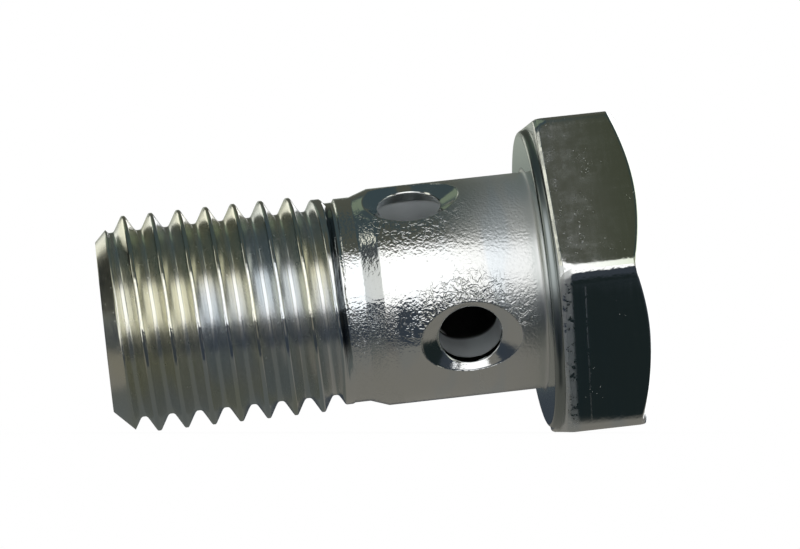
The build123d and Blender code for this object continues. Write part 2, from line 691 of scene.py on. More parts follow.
@dataclass
class Thread:
    """The helical thread, from the chamfered end to the neck, made by Geometry Nodes."""

    pitch: float = 1.5
    crest_radius: float = 5.93
    root_radius: float = 5.08
    root_width: float = 0.33
    first_root: float = -23.846
    start: float = -23.6
    stop: float = -10.45
    end_radius: float = 4.65
    neck_radius: float = 5.6
    shoulder: float = -10.69
    shoulder_height: float = 0.07
    shoulder_slope: float = 0.55
    groove_fade_start: float = -11.47
    groove_fade_stop: float = -10.2
    crest_fade_start: float = -12.3
    crest_fade_stop: float = -11.3
    root_rounding: float = 0.24
    crest_rounding: float = 0.09
    chamfer_rounding: float = 0.05
    stop_ease: float = 0.12
    faded_crest: float = 0.06
    faded_crest_in_front: float = 0.12
    front: tuple[float, float] = (-0.13, 0.17)
    front_soft: float = 0.08
    ramp: tuple[float, float] = (0.0, 0.40)
    land: tuple[float, float] = (-0.12, 0.0)
    ramp_soft: float = 0.05
    land_share: float = 0.7
    flank_slope: float = math.sqrt(3.0)
    bunching: float = 0.5
    end_step: float = 0.0005
    spare_turn: float = 0.1
    steps_a_pitch: int = 24

    def sizes(self, tilt: float) -> dict[str, float]:
        """The tree's named sizes, in millimetres and radians."""
        return {
            "Pitch": self.pitch, "Crest radius": self.crest_radius, "Root radius": self.root_radius,
            "Root width": self.root_width, "First root": self.first_root, "Start": self.start,
            "Stop": self.stop, "End radius": self.end_radius, "Neck radius": self.neck_radius,
            "Groove fade start": self.groove_fade_start, "Groove fade stop": self.groove_fade_stop,
            "Crest fade start": self.crest_fade_start, "Crest fade stop": self.crest_fade_stop,
            "Shoulder": self.shoulder, "Shoulder height": self.shoulder_height,
            "Shoulder slope": self.shoulder_slope, "Tilt": tilt,
        }

    def tree(self, names: list[str]) -> bpy.types.GeometryNodeTree:
        """Builds the node tree that winds the thread.

        Args:
            names: Names of the tree's sizes.

        Returns:
            The tree.
        """
        tree = bpy.data.node_groups.new("wind_thread", "GeometryNodeTree")
        tree.interface.new_socket("Geometry", in_out="OUTPUT", socket_type="NodeSocketGeometry")
        for name in names:
            tree.interface.new_socket(name, in_out="INPUT", socket_type="NodeSocketFloat")
        for name in ("Around", "Steps a pitch", "Rows"):
            tree.interface.new_socket(name, in_out="INPUT", socket_type="NodeSocketInt")
        tree.interface.new_socket("Finish", in_out="INPUT", socket_type="NodeSocketMaterial")
        given = tree.nodes.new("NodeGroupInput").outputs
        size = {name: Wire(tree, given[name]) for name in [*names, "Around", "Steps a pitch", "Rows"]}

        grid = tree.nodes.new("GeometryNodeMeshGrid")
        for slot, value in (("Size X", size["Rows"] - 1.0), ("Size Y", size["Around"]),
                            ("Vertices X", size["Rows"]), ("Vertices Y", size["Around"] + 1.0)):
            tree.links.new(value.source, grid.inputs[slot])
        place = tree.nodes.new("ShaderNodeSeparateXYZ")
        tree.links.new(tree.nodes.new("GeometryNodeInputPosition").outputs[0], place.inputs[0])
        row = (Wire(tree, place.outputs[0]) + (size["Rows"] - 1.0) / 2.0).math("ROUND")
        column = (Wire(tree, place.outputs[1]) + size["Around"] / 2.0).math("ROUND")
        share = column / size["Around"]

        # Rows lie closer together on the crests and in the roots than on the flanks.
        step = row / size["Steps a pitch"]
        wave = 4 * math.pi
        bunched = step - (step * wave).math("SINE") * (self.bunching / wave)
        along = size["First root"] + size["Pitch"] * (bunched - share)
        along = along.math("MAXIMUM", size["Start"]).math("MINIMUM", size["Stop"])

        # The profile: flank, root and crest, each rounded into the next.
        phase = (along - size["First root"]) / size["Pitch"] + share
        part = phase.math("FRACT")
        from_root = (Wire(tree, 0.5) - (part - 0.5).math("ABSOLUTE")) * size["Pitch"]
        flank = size["Root radius"] + (from_root - size["Root width"] / 2.0) * self.flank_slope
        groove = size["First root"] + size["Pitch"] * (phase.math("ROUND") - share)
        ridge = size["First root"] + size["Pitch"] * (phase.math("FLOOR") + 0.5 - share)
        shallow = groove.eased(size["Groove fade start"], size["Groove fade stop"])
        low = ridge.eased(size["Crest fade start"], size["Crest fade stop"])
        lean = (share + 0.5).math("FRACT") - 0.5
        front = lean.within(self.front, self.front_soft)
        root = size["Root radius"].toward(size["Neck radius"], shallow)
        faded = size["Neck radius"] + self.faded_crest + front * self.faded_crest_in_front
        crest = size["Crest radius"].toward(faded, low)
        radius = flank.math("SMOOTH_MAX", root, self.root_rounding)
        radius = radius.math("SMOOTH_MIN", crest, self.crest_rounding)
        chamfer = size["End radius"] + (along - size["Start"])
        radius = radius.math("SMOOTH_MIN", chamfer, self.chamfer_rounding)
        last = along.eased(size["Stop"] - self.stop_ease, size["Stop"])
        radius = radius.toward(size["Neck radius"], last)

        # On the front the last groove ends at a fine shoulder.
        shoulder = size["Shoulder"] - size["Pitch"] * lean.math("MINIMUM", 0.0)
        before = shoulder - along
        slope = size["Neck radius"] + size["Shoulder height"] - before * size["Shoulder slope"]
        radius = radius.toward(slope, before.within(self.ramp, self.ramp_soft) * front)
        land = before.within(self.land, self.ramp_soft) * front
        radius = radius + size["Shoulder height"] * self.land_share * land
        exact = (size["Start"] + self.end_step).math("GREATER_THAN", along)
        radius = radius.toward(size["End radius"], exact)

        turn = share * (2 * math.pi)
        joined = tree.nodes.new("ShaderNodeCombineXYZ")
        for slot, value in zip(joined.inputs, (along, radius * turn.math("COSINE") * -1.0,
                                               radius * turn.math("SINE"))):
            tree.links.new(value.source, slot)
        lay = tree.nodes.new("ShaderNodeVectorRotate")
        lay.rotation_type = "Y_AXIS"
        tree.links.new(joined.outputs[0], lay.inputs["Vector"])
        tree.links.new((size["Tilt"] * -1.0).source, lay.inputs["Angle"])
        scale = tree.nodes.new("ShaderNodeVectorMath")
        scale.operation = "SCALE"
        scale.inputs["Scale"].default_value = MM
        tree.links.new(lay.outputs[0], scale.inputs[0])
        move = tree.nodes.new("GeometryNodeSetPosition")
        tree.links.new(grid.outputs["Mesh"], move.inputs["Geometry"])
        tree.links.new(scale.outputs[0], move.inputs["Position"])
        weld = tree.nodes.new("GeometryNodeMergeByDistance")
        weld.inputs["Distance"].default_value = WELD
        realize = tree.nodes.new("GeometryNodeRealizeInstances")
        finish = tree.nodes.new("GeometryNodeSetMaterial")
        tree.links.new(move.outputs[0], weld.inputs[0])
        tree.links.new(weld.outputs[0], realize.inputs[0])
        tree.links.new(realize.outputs[0], finish.inputs["Geometry"])
        tree.links.new(given["Finish"], finish.inputs["Material"])
        tree.links.new(finish.outputs[0], tree.nodes.new("NodeGroupOutput").inputs[0])
        return tree

    def build(self, lie: Lie, finish: bpy.types.Material) -> bpy.types.Mesh:
        """Winds the thread.

        Args:
            lie: How the bolt lies.
            finish: The material.

        Returns:
            A plain mesh in the frame, in metres.
        """
        sizes = self.sizes(lie.tilt)
        tree = self.tree(list(sizes))
        holder = bpy.data.objects.new("thread_holder", bpy.data.meshes.new("thread_holder"))
        bpy.context.scene.collection.objects.link(holder)
        winder = holder.modifiers.new("wind_thread", "NODES")
        winder.node_group = tree
        turns = (self.stop + self.pitch - self.first_root) / self.pitch
        values = {**sizes, "Around": AROUND, "Steps a pitch": self.steps_a_pitch,
                  "Rows": math.ceil((turns + self.spare_turn) * self.steps_a_pitch), "Finish": finish}
        for item in tree.interface.items_tree:
            if item.in_out == "INPUT":
                winder[item.identifier] = values[item.name]
        graph = bpy.context.evaluated_depsgraph_get()
        mesh = bpy.data.meshes.new_from_object(holder.evaluated_get(graph))
        bpy.data.objects.remove(holder)
        return mesh


# ------------------------------------------------------------------------- materials
Colour = tuple[float, float, float]
Ramp = tuple[float, float]
Span = tuple[tuple[float, float], float]


@dataclass(frozen=True)
class Noise:
    """A kind of soft noise, with so many swings in a millimetre.

    Where it is stretched, its swings are counted along the axis and across it.
    """

    scale: float
    detail: float
    falloff: float = 0.5
    swirl: float = 0.0
    stretch: tuple[float, float] | None = None


class Graph:
    """Builds one material's node tree."""

    def __init__(self, name: str) -> None:
        """Starts an empty material.

        Args:
            name: The material's name.
        """
        self.material = bpy.data.materials.new(name)
        self.material.use_nodes = True
        self.tree = self.material.node_tree
        self.tree.nodes.clear()
        self.out = self.tree.nodes.new("ShaderNodeOutputMaterial")

    def node(self, kind: str, **settings: object) -> bpy.types.Node:
        """Adds a node and sets its properties."""
        made = self.tree.nodes.new(kind)
        for name, value in settings.items():
            setattr(made, name, value)
        return made

    def feed(self, slot: bpy.types.NodeSocket, value: object) -> None:
        """Sets a socket to a plain value, or links it to another socket."""
        if isinstance(value, Wire):
            value = value.source
        if isinstance(value, bpy.types.NodeSocket):
            self.tree.links.new(value, slot)
        else:
            slot.default_value = value

    def wire(self, source: bpy.types.NodeSocket | float) -> Wire:
        """A number of this tree."""
        return Wire(self.tree, source)

    def split(self, source: bpy.types.NodeSocket) -> tuple[Wire, Wire, Wire]:
        """The three parts of a vector."""
        parts = self.node("ShaderNodeSeparateXYZ")
        self.feed(parts.inputs[0], source)
        return self.wire(parts.outputs[0]), self.wire(parts.outputs[1]), self.wire(parts.outputs[2])

    def joined(self, x: Wire, y: Wire, z: Wire) -> bpy.types.NodeSocket:
        """A vector of three numbers."""
        made = self.node("ShaderNodeCombineXYZ")
        for slot, value in zip(made.inputs, (x, y, z)):
            self.feed(slot, value)
        return made.outputs[0]

    def noise(self, place: bpy.types.NodeSocket, kind: Noise) -> Wire:
        """Soft noise about 0.5."""
        made = self.node("ShaderNodeTexNoise")
        for name, value in (("Vector", place), ("Scale", kind.scale), ("Detail", kind.detail),
                            ("Roughness", kind.falloff), ("Distortion", kind.swirl)):
            self.feed(made.inputs[name], value)
        return self.wire(made.outputs[0])

    def blend(self, below: bpy.types.NodeSocket | Colour, above: bpy.types.NodeSocket | Colour,
              share: Wire) -> bpy.types.NodeSocket:
        """One colour laid over another.

        Args:
            below: The colour where share is 0.
            above: The colour where share is 1.
            share: How much of the upper colour shows.

        Returns:
            The mixed colour.
        """
        made = self.node("ShaderNodeMix", data_type="VECTOR")
        slots = {slot.identifier: slot for slot in [*made.inputs, *made.outputs]}
        self.feed(slots["Factor_Float"], share)
        self.feed(slots["A_Vector"], below)
        self.feed(slots["B_Vector"], above)
        return slots["Result_Vector"]


@dataclass(frozen=True)
class Spot:
    """A place in the bolt's own axes, in millimetres, as numbers of a material."""

    graph: Graph
    place: bpy.types.NodeSocket
    u: Wire
    y: Wire
    z: Wire
    radius: Wire

    def up_flat(self, lean: float) -> tuple[Wire, Wire]:
        """Distance from the axis towards a flat, and place across that flat, upwards.

        Args:
            lean: Elevation of the flat's normal, in degrees.

        Returns:
            The distance and the place.
        """
        cos, sin = math.cos(math.radians(lean)), math.sin(math.radians(lean))
        return self.z * sin - self.y * cos, self.y * sin + self.z * cos

    def noise(self, kind: Noise) -> Wire:
        """Noise about 0.5 at this place."""
        place = self.place
        if kind.stretch:
            along, across = kind.stretch
            place = self.graph.joined(self.u * along, self.y * across, self.z * across)
        return self.graph.noise(place, kind)


@dataclass(frozen=True)
class Scuff:
    """A patch of small dents on the upper flat: where it lies, its soft edge and its strength."""

    along: tuple[float, float]
    up: tuple[float, float]
    soft: float
    amount: float


@dataclass(frozen=True)
class Zones:
    """Where the bolt's surfaces are, in millimetres, for masks.

    A ramp is where a mask goes from 0 to 1. A span has its two ends and the width of its soft
    edges. Both run along the axis, or outwards from it where the name ends in reach, or upwards
    or to the front where the name ends so. A lean is the elevation of a flat, in degrees.
    """

    flats: Span = ((0.5, 5.5), 0.1)
    brushed: Span = ((0.5, 5.4), 0.1)
    mottled: Span = ((0.45, 1.08), 0.25)
    nicked: Span = ((0.45, 1.1), 0.2)
    score: Span = ((1.74, 1.82), 0.05)
    score_up: Span = ((-4.3, 3.9), 0.2)
    flats_reach: float = 8.36
    flat_reach: float = 8.4
    low_flat_reach: float = 8.3
    corner_reach: Ramp = (9.4, 9.56)
    upper_lean: float = 30.0
    lower_lean: float = -30.0
    far_flats: Ramp = (1.0, 5.2)
    smudged: Ramp = (6.0, 1.0)
    washer_face: Span = ((-0.2, 0.48), 0.04)
    washer_face_reach: Ramp = (6.0, 6.3)
    smooth_face: Span = ((-0.25, 0.5), 0.1)
    smooth_face_reach: Ramp = (5.95, 6.2)
    face_start_reach: Ramp = (6.25, 6.1)
    face_stop_reach: Ramp = (8.05, 8.15)
    rim: Span = ((-0.2, 0.5), 0.04)
    rim_start_reach: Ramp = (7.85, 8.0)
    rim_stop_reach: Ramp = (8.42, 8.38)
    near_head: Ramp = (-7.5, -1.2)
    near_head_reach: Ramp = (6.3, 6.6)
    top_up: Ramp = (1.5, 4.0)
    shank: Span = ((-10.75, -0.4), 0.4)
    shank_reach: Ramp = (6.2, 6.4)
    cone: Span = ((-9.7, -8.5), 0.15)
    low_neck: Span = ((-10.6, -7.9), 0.6)
    low_neck_up: Ramp = (-0.3, -1.6)
    warm: Ramp = (-10.5, -11.5)
    past_thread: Ramp = (-11.5, -11.15)
    flank_reach: Ramp = (5.7, 5.88)
    past_crests: Ramp = (-11.0, -10.9)
    crest_reach: Ramp = (5.8, 5.9)
    past_lead: Ramp = (-22.3, -22.0)
    lead_reach: Ramp = (5.0, 5.4)
    # Where the painted shade of the last groove lies.
    groove_shade: Span = ((0.03, 0.4), 0.06)
    groove_shade_front: Ramp = (1.5, 3.0)
    groove_shade_up: Ramp = (-3.6, -2.2)
    groove_shade_reach: float = 5.75
    under_skin: Span = ((-23.45, -0.3), 0.1)
    bore_reach: Ramp = (3.35, 3.05)
    wall_reach: Ramp = (5.2, 4.95)
    wall_start: float = -9.0
    sink_depth_reach: Ramp = (5.945, 5.915)
    sink_soft: float = 0.04
    halo_from_rim: Ramp = (1.6, -0.6)
    halo_side: Ramp = (-0.2, 1.2)
    halo_above: float = 0.4

    def on_flats(self, spot: Spot, span: Span) -> Wire:
        """1 on the outside of the head in a span along the axis."""
        return spot.u.within(*span) * spot.radius.over(self.flats_reach)

    def upper_flat(self, spot: Spot) -> Wire:
        """1 on the upper front flat."""
        return spot.up_flat(self.upper_lean)[0].over(self.flat_reach)

    def inside(self, spot: Spot) -> tuple[Wire, Wire]:
        """1 on the ports' walls and in the bore, and 1 in the bore alone."""
        under = spot.u.within(*self.under_skin)
        bore = under * spot.radius.eased(*self.bore_reach)
        return under * spot.radius.eased(*self.wall_reach) * spot.u.over(self.wall_start), bore

    def drilled(self, spot: Spot, ports: list[Port]) -> tuple[Wire, Wire]:
        """1 in the oil ports and their countersinks, and 1 beside their rims.

        Args:
            spot: The place on the bolt.
            ports: The oil ports.

        Returns:
            The mask of the ports, and the mask of what lies between them.
        """
        mask, halo = spot.graph.wire(0.0), spot.graph.wire(0.0)
        for port in ports:
            aside = spot.y * math.sin(port.turn) + spot.z * math.cos(port.turn)
            outwards = spot.z * math.sin(port.turn) - spot.y * math.cos(port.turn)
            away = spot.u - port.along
            distance = (away * away + aside * aside).math("SQRT")
            rim = port.radius + port.sink_width
            facing = outwards.over(0.0)
            sunk = distance.eased(rim + self.sink_soft, rim - self.sink_soft)
            mask = mask.math("MAXIMUM", sunk * facing)
            below = port.turn < 0.0
            near = distance.eased(*(rim + reach for reach in self.halo_from_rim))
            near = near * (aside * (1.0 if below else -1.0)).eased(*self.halo_side)
            halo = halo.math("MAXIMUM", near * facing * (1.0 if below else self.halo_above))
        return mask * spot.radius.eased(*self.sink_depth_reach), halo


@dataclass(frozen=True)
class ZincPlate:
    """Bright zinc plating over turned steel: orange peel on the shank, brushed and nicked flats."""

    pale: Colour = (0.72, 0.73, 0.725)
    warm: Colour = (0.755, 0.745, 0.64)
    cool: Colour = (0.68, 0.715, 0.735)
    sea: Colour = (0.64, 0.70, 0.675)
    # Painted shade for the upper flat towards the crown.
    painted_olive_shade: Colour = (0.52, 0.56, 0.46)
    dull: Colour = (0.75, 0.78, 0.80)
    # Painted shade for the collar's rim.
    shaded: Colour = (0.30, 0.33, 0.325)
    # Painted shade for the front of the last groove.
    painted_groove_shade: Colour = (0.15, 0.165, 0.175)
    # Painted shade: near black for the inside of the bore.
    painted_bore_shade: Colour = (0.02, 0.02, 0.019)
    shank_roughness: float = 0.11
    head_end_roughness: float = 0.36
    head_top_roughness: float = 0.6
    thread_roughness: float = 0.25
    face_roughness: float = 0.13
    sink_roughness: float = 0.085
    eased_roughness: float = 0.3
    bore_roughness: float = 0.65
    smudge_roughness: float = 0.3
    mottle_roughness: float = 0.55
    score_roughness: float = 0.4
    dent_roughness: float = 0.5
    least_roughness: float = 0.06
    peel: Noise = Noise(6.5, 1.0)
    peel_height: float = 0.024
    peel_off_shank: float = 0.06
    peel_lost_on_cone: float = 0.55
    peel_lost_in_ports: float = 0.92
    curl: Noise = Noise(9.0, 1.0, swirl=1.2)
    curl_height: float = 0.012
    curl_amount: float = 2.5
    crease: Noise = Noise(2.6, 1.0, swirl=1.0)
    crease_depth: float = 0.03
    crease_width: float = 0.1
    nick: Noise = Noise(3.2, 2.0)
    nick_height: float = 0.022
    corner_nicks: float = 0.9
    low_flat_nicks: float = 0.65
    crest_nicks: float = 0.55
    lead_nicks: float = 0.5
    speck: Noise = Noise(8.0, 1.0)
    speck_level: float = 0.78
    speck_spread: float = 0.2
    speck_soft: float = 0.05
    stray: Noise = Noise(0.6, 1.0)
    stray_level: Ramp = (0.56, 0.75)
    stray_amount: float = 0.35
    scuffs: tuple[Scuff, ...] = (
        Scuff((2.2, 3.1), (0.9, 2.5), 1.0, 0.7),
        Scuff((1.9, 2.6), (-0.5, -0.1), 0.5, 0.6),
        Scuff((1.8, 2.1), (-3.4, -0.3), 0.3, 0.75),
        Scuff((2.0, 2.7), (-2.6, -0.4), 0.7, 0.45),
        Scuff((0.8, 1.25), (-4.5, 4.6), 0.5, 0.45),
    )
    drift: Noise = Noise(1.0, 1.0, stretch=(0.55, 0.12))
    warm_level: Ramp = (0.44, 0.62)
    cool_level: Ramp = (0.48, 0.36)
    warm_on_shank: float = 0.12
    grain: Noise = Noise(3.0, 3.0)
    shank_grain: float = 0.1
    thread_grain: float = 0.12
    brushing: Noise = Noise(1.0, 2.0, stretch=(7.0, 0.35))
    brushing_amount: float = 0.25
    scoring: Noise = Noise(1.0, 2.0, stretch=(0.4, 7.0))
    scoring_amount: float = 0.15
    score_level: Ramp = (0.3, 0.5)
    blotch: Noise = Noise(3.4, 4.0, 0.7)
    blotch_level: Ramp = (0.38, 0.48)
    smudge: Noise = Noise(1.4, 6.0, 0.7)
    smudge_level: Ramp = (0.3, 0.75)
    zones: Zones = Zones()

    def material(self, lie: Lie, ports: list[Port]) -> bpy.types.Material:
        """Builds the material.

        Args:
            lie: How the bolt lies, so that the pattern follows its axis.
            ports: The oil ports, which are smooth inside.

        Returns:
            The material.
        """
        graph = Graph("zinc_plated_steel")
        mapping = graph.node("ShaderNodeMapping")
        graph.feed(mapping.inputs["Vector"], graph.node("ShaderNodeTexCoord").outputs["Object"])
        graph.feed(mapping.inputs["Rotation"], (0.0, lie.tilt, 0.0))
        graph.feed(mapping.inputs["Scale"], (1 / MM, 1 / MM, 1 / MM))
        u, y, z = graph.split(mapping.outputs[0])
        spot = Spot(graph, mapping.outputs[0], u, y, z, (y * y + z * z).math("SQRT"))
        drilled, halo = self.zones.drilled(spot, ports)
        wall, bore = self.zones.inside(spot)
        worn = self.worn(spot)

        bump = graph.node("ShaderNodeBump")
        graph.feed(bump.inputs["Distance"], MM)
        graph.feed(bump.inputs["Strength"], 1.0)
        graph.feed(bump.inputs["Height"], self.height(spot, drilled, halo, worn))
        shader = graph.node("ShaderNodeBsdfPrincipled")
        graph.feed(shader.inputs["Base Color"], self.colour(spot, wall, bore))
        graph.feed(shader.inputs["Metallic"], 1.0)
        graph.feed(shader.inputs["Roughness"], self.roughness(spot, drilled, wall, worn))
        graph.feed(shader.inputs["Normal"], bump.outputs[0])
        graph.feed(graph.out.inputs["Surface"], shader.outputs[0])
        return graph.material

    def worn(self, spot: Spot) -> Wire:
        """Small dents: on the scuffs of the upper flat, and here and there on all the flats.

        Args:
            spot: The place on the bolt.

        Returns:
            1 in a dent.
        """
        zones = self.zones
        amount = spot.noise(self.stray).eased(*self.stray_level) * self.stray_amount
        reach, up = spot.up_flat(zones.upper_lean)
        for scuff in self.scuffs:
            patch = spot.u.within(scuff.along, scuff.soft) * up.within(scuff.up, scuff.soft)
            patch = patch * scuff.amount * reach.over(zones.flat_reach)
            amount = amount.math("MAXIMUM", patch)
        level = amount * -self.speck_spread + self.speck_level
        dent = spot.noise(self.speck).eased(level, level + self.speck_soft)
        dent = dent * zones.on_flats(spot, zones.flats)
        return dent * amount.eased(0.0, self.speck_spread)

    def colour(self, spot: Spot, wall: Wire, bore: Wire) -> bpy.types.NodeSocket:
        """The tint of the plating, which drifts along the bolt; painted shade makes it dark in the
        bore, darker on the collar's rim, on the front of the last groove and on the upper flat towards
        the crown.

        Args:
            spot: The place on the bolt.
            wall: 1 on the ports' walls and in the bore.
            bore: 1 in the bore.

        Returns:
            The colour.
        """
        zones, graph = self.zones, spot.graph
        drift = spot.noise(self.drift)
        share = spot.u.eased(*zones.warm) * (1.0 - self.warm_on_shank) + self.warm_on_shank
        colour = graph.blend(self.pale, self.warm, drift.eased(*self.warm_level) * share)
        colour = graph.blend(colour, self.cool, drift.eased(*self.cool_level))

        # The washer face, tinted sea green, and the collar's rim beside it, darkened by painted shade
        # that dims its reflection.
        ring = spot.u.within(*zones.washer_face) * spot.radius.eased(*zones.washer_face_reach)
        colour = graph.blend(colour, self.sea, ring)
        rim = spot.radius.eased(*zones.rim_start_reach) * spot.radius.eased(*zones.rim_stop_reach)
        colour = graph.blend(colour, self.shaded, spot.u.within(*zones.rim) * rim)

        # Painted shade: the last groove of the thread is darkened on the front.
        lean = spot.z.math("ARCTAN2", spot.y * -1.0) / (2 * math.pi)
        before = lean.math("MINIMUM", 0.0) * -Thread.pitch + Thread.shoulder - spot.u
        groove = before.within(*zones.groove_shade) * (spot.y * -1.0).eased(*zones.groove_shade_front)
        groove = groove * spot.z.eased(*zones.groove_shade_up)
        groove = groove * spot.radius.math("LESS_THAN", zones.groove_shade_reach)
        colour = graph.blend(colour, self.painted_groove_shade, groove)

        # Painted shade: the upper flat darkens to olive towards the crown.
        far = zones.on_flats(spot, zones.flats) * zones.upper_flat(spot)
        colour = graph.blend(colour, self.painted_olive_shade, far * spot.u.eased(*zones.far_flats))
        colour = graph.blend(colour, self.dull, wall)
        # Painted shade: the bore is coloured near black.
        return graph.blend(colour, self.painted_bore_shade, bore)

    def roughness(self, spot: Spot, drilled: Wire, wall: Wire, worn: Wire) -> Wire:
        """How much the plating blurs what it mirrors.

        Args:
            spot: The place on the bolt.
            drilled: 1 in the oil ports.
            wall: 1 on the ports' walls and in the bore.
            worn: 1 in a dent.

        Returns:
            The roughness.
        """
        # The shank is duller towards the head, and more so on top.
        zones, graph = self.zones, spot.graph
        grain = spot.noise(self.grain)
        near_head = spot.u.eased(*zones.near_head) * spot.radius.eased(*zones.near_head_reach).rest()
        rough = graph.wire(self.shank_roughness) + (grain - 0.5) * self.shank_grain
        head_end = graph.wire(self.head_end_roughness)
        dulled = head_end.toward(self.head_top_roughness, spot.z.eased(*zones.top_up))
        rough = rough.toward(dulled, near_head)

        # The thread, all but the crests.
        flanks = spot.u.eased(*zones.past_thread).rest() * spot.radius.eased(*zones.flank_reach).rest()
        threaded = graph.wire(self.thread_roughness) + (grain - 0.5) * self.thread_grain
        rough = rough.toward(threaded, flanks)

        # The washer face, with its eased edges.
        ring = spot.u.within(*zones.smooth_face) * spot.radius.eased(*zones.smooth_face_reach)
        outer = spot.radius.eased(*zones.face_stop_reach)
        eased = spot.radius.eased(*zones.face_start_reach).math("MAXIMUM", outer)
        face = graph.wire(self.face_roughness).toward(self.eased_roughness, eased)
        rough = rough.toward(face, ring)

        # The flats: brushed along and across, mottled at the collar, smudged and scored.
        flat = zones.on_flats(spot, zones.brushed)
        brushing = (spot.noise(self.brushing) - 0.5) * self.brushing_amount
        scoring = (spot.noise(self.scoring) - 0.5) * self.scoring_amount
        rough = rough + (brushing + scoring) * flat
        low_reach, low_up = spot.up_flat(zones.lower_lean)
        mottled = zones.on_flats(spot, zones.mottled) * low_reach.over(zones.low_flat_reach)
        blotch = spot.noise(self.blotch).eased(*self.blotch_level)
        rough = rough.toward(self.mottle_roughness, mottled * blotch)
        smudge = spot.noise(self.smudge).eased(*self.smudge_level) * spot.u.eased(*zones.smudged)
        rough = rough.toward(self.smudge_roughness, smudge * flat * zones.upper_flat(spot))
        score = zones.on_flats(spot, zones.score) * low_up.within(*zones.score_up)
        score = score * low_reach.over(zones.flat_reach) * grain.eased(*self.score_level)
        rough = rough.toward(self.score_roughness, score)

        rough = rough.toward(self.dent_roughness, worn).toward(self.sink_roughness, drilled)
        return rough.toward(self.bore_roughness, wall).math("MAXIMUM", self.least_roughness)

    def height(self, spot: Spot, drilled: Wire, halo: Wire, worn: Wire) -> Wire:
        """Relief of the plating, in millimetres.

        Args:
            spot: The place on the bolt.
            drilled: 1 in the oil ports.
            halo: 1 beside their rims.
            worn: 1 in a dent.

        Returns:
            The height.
        """
        # Orange peel on the shank, weaker on the cone and all but gone in the ports.
        zones = self.zones
        shank = spot.u.within(*zones.shank) * spot.radius.eased(*zones.shank_reach).rest()
        cone = spot.u.within(*zones.cone) * self.peel_lost_on_cone
        depth = (shank * (1.0 - self.peel_off_shank) + self.peel_off_shank) * cone.rest()
        depth = depth * (drilled * -self.peel_lost_in_ports + 1.0)
        height = spot.noise(self.peel) * depth * self.peel_height

        # Curls low on the neck, and creases between the ports.
        low_neck = spot.u.within(*zones.low_neck) * spot.z.eased(*zones.low_neck_up) * self.curl_amount
        curl = spot.noise(self.curl) * low_neck
        height = height + curl * drilled.rest() * shank * self.curl_height
        crease = (spot.noise(self.crease) - 0.5).math("ABSOLUTE").eased(0.0, self.crease_width)
        height = height + crease * halo * drilled.rest() * shank * self.crease_depth

        # Nicks on the hexagon's corners, under the flats, on the crests and at the lead-in.
        corner = spot.radius.eased(*zones.corner_reach) * self.corner_nicks
        low_flat = spot.up_flat(zones.lower_lean)[0].over(zones.low_flat_reach)
        under = low_flat * self.low_flat_nicks + (1.0 - self.low_flat_nicks)
        under = zones.on_flats(spot, zones.nicked) * under
        crest = spot.radius.eased(*zones.crest_reach) * spot.u.eased(*zones.past_crests).rest()
        lead = spot.u.eased(*zones.past_lead).rest() * spot.radius.eased(*zones.lead_reach)
        rugged = corner.math("MAXIMUM", under).math("MAXIMUM", crest * self.crest_nicks)
        rugged = rugged.math("MAXIMUM", lead * self.lead_nicks)
        nicks = spot.noise(self.nick) * rugged
        return height + nicks * self.nick_height - worn * self.nick_height


# ------------------------------------------------------------------------------ bolt
@dataclass
class BanjoBolt:
    """The whole bolt, as one closed skin."""

    lie: Lie = field(default_factory=Lie)
    thread: Thread = field(default_factory=Thread)
    shank: Shank = field(default_factory=Shank)
    head: Head = field(default_factory=Head)
    finish: ZincPlate = field(default_factory=ZincPlate)
    bearing_rings: tuple[float, ...] = (6.1, 6.14, 6.5)
    end_rings: tuple[float, ...] = (4.6, 4.2, 3.7)

    def build(self) -> bpy.types.Object:
        """Builds the bolt.

        Returns:
            The bolt's object, at the origin.
        """
        material = self.finish.material(self.lie, self.shank.ports)
        draft = Draft()
        turns = even_turns(AROUND)
        foot, mouth = self.shank.build(draft)
        face, face_turns = self.head.build(draft)
        bearing = draft.loft([turn_row(0.0, radius, turns) for radius in self.bearing_rings])
        draft.strip(foot, bearing[0])
        draft.zip_rings(bearing[-1], face, turns, face_turns)
        end = draft.loft([turn_row(self.thread.start, radius, turns)
                          for radius in (self.thread.end_radius, *self.end_rings)])
        draft.zip_rings(mouth, end[-1], even_turns(self.shank.bore_around), turns)

        bolt = bpy.data.objects.new("banjo_bolt_look", self.join(
            [self.thread.build(self.lie, material), draft.mesh("turned_and_drilled", self.lie)]))
        bpy.context.scene.collection.objects.link(bolt)
        bolt.data.materials.clear()
        bolt.data.materials.append(material)
        return bolt

    def join(self, meshes: list[bpy.types.Mesh]) -> bpy.types.Mesh:
        """Welds meshes into one closed skin whose faces point outwards.

        Args:
            meshes: The meshes to weld.

        Returns:
            The skin.
        """
        skin = bmesh.new()
        for mesh in meshes:
            skin.from_mesh(mesh)
        bmesh.ops.remove_doubles(skin, verts=skin.verts, dist=WELD)
        bmesh.ops.dissolve_degenerate(skin, dist=SLIVER, edges=skin.edges)
        bmesh.ops.recalc_face_normals(skin, faces=skin.faces)
        for piece in skin.faces:
            piece.smooth = True
        open_edges = sum(not edge.is_manifold for edge in skin.edges)
        log.info("bolt: %d points, %d faces, %d open edges, volume %.1f mm3", len(skin.verts),
                 len(skin.faces), open_edges, skin.calc_volume() / MM**3)
        made = bpy.data.meshes.new("banjo_bolt_look")
        skin.to_mesh(made)
        skin.free()
        return made


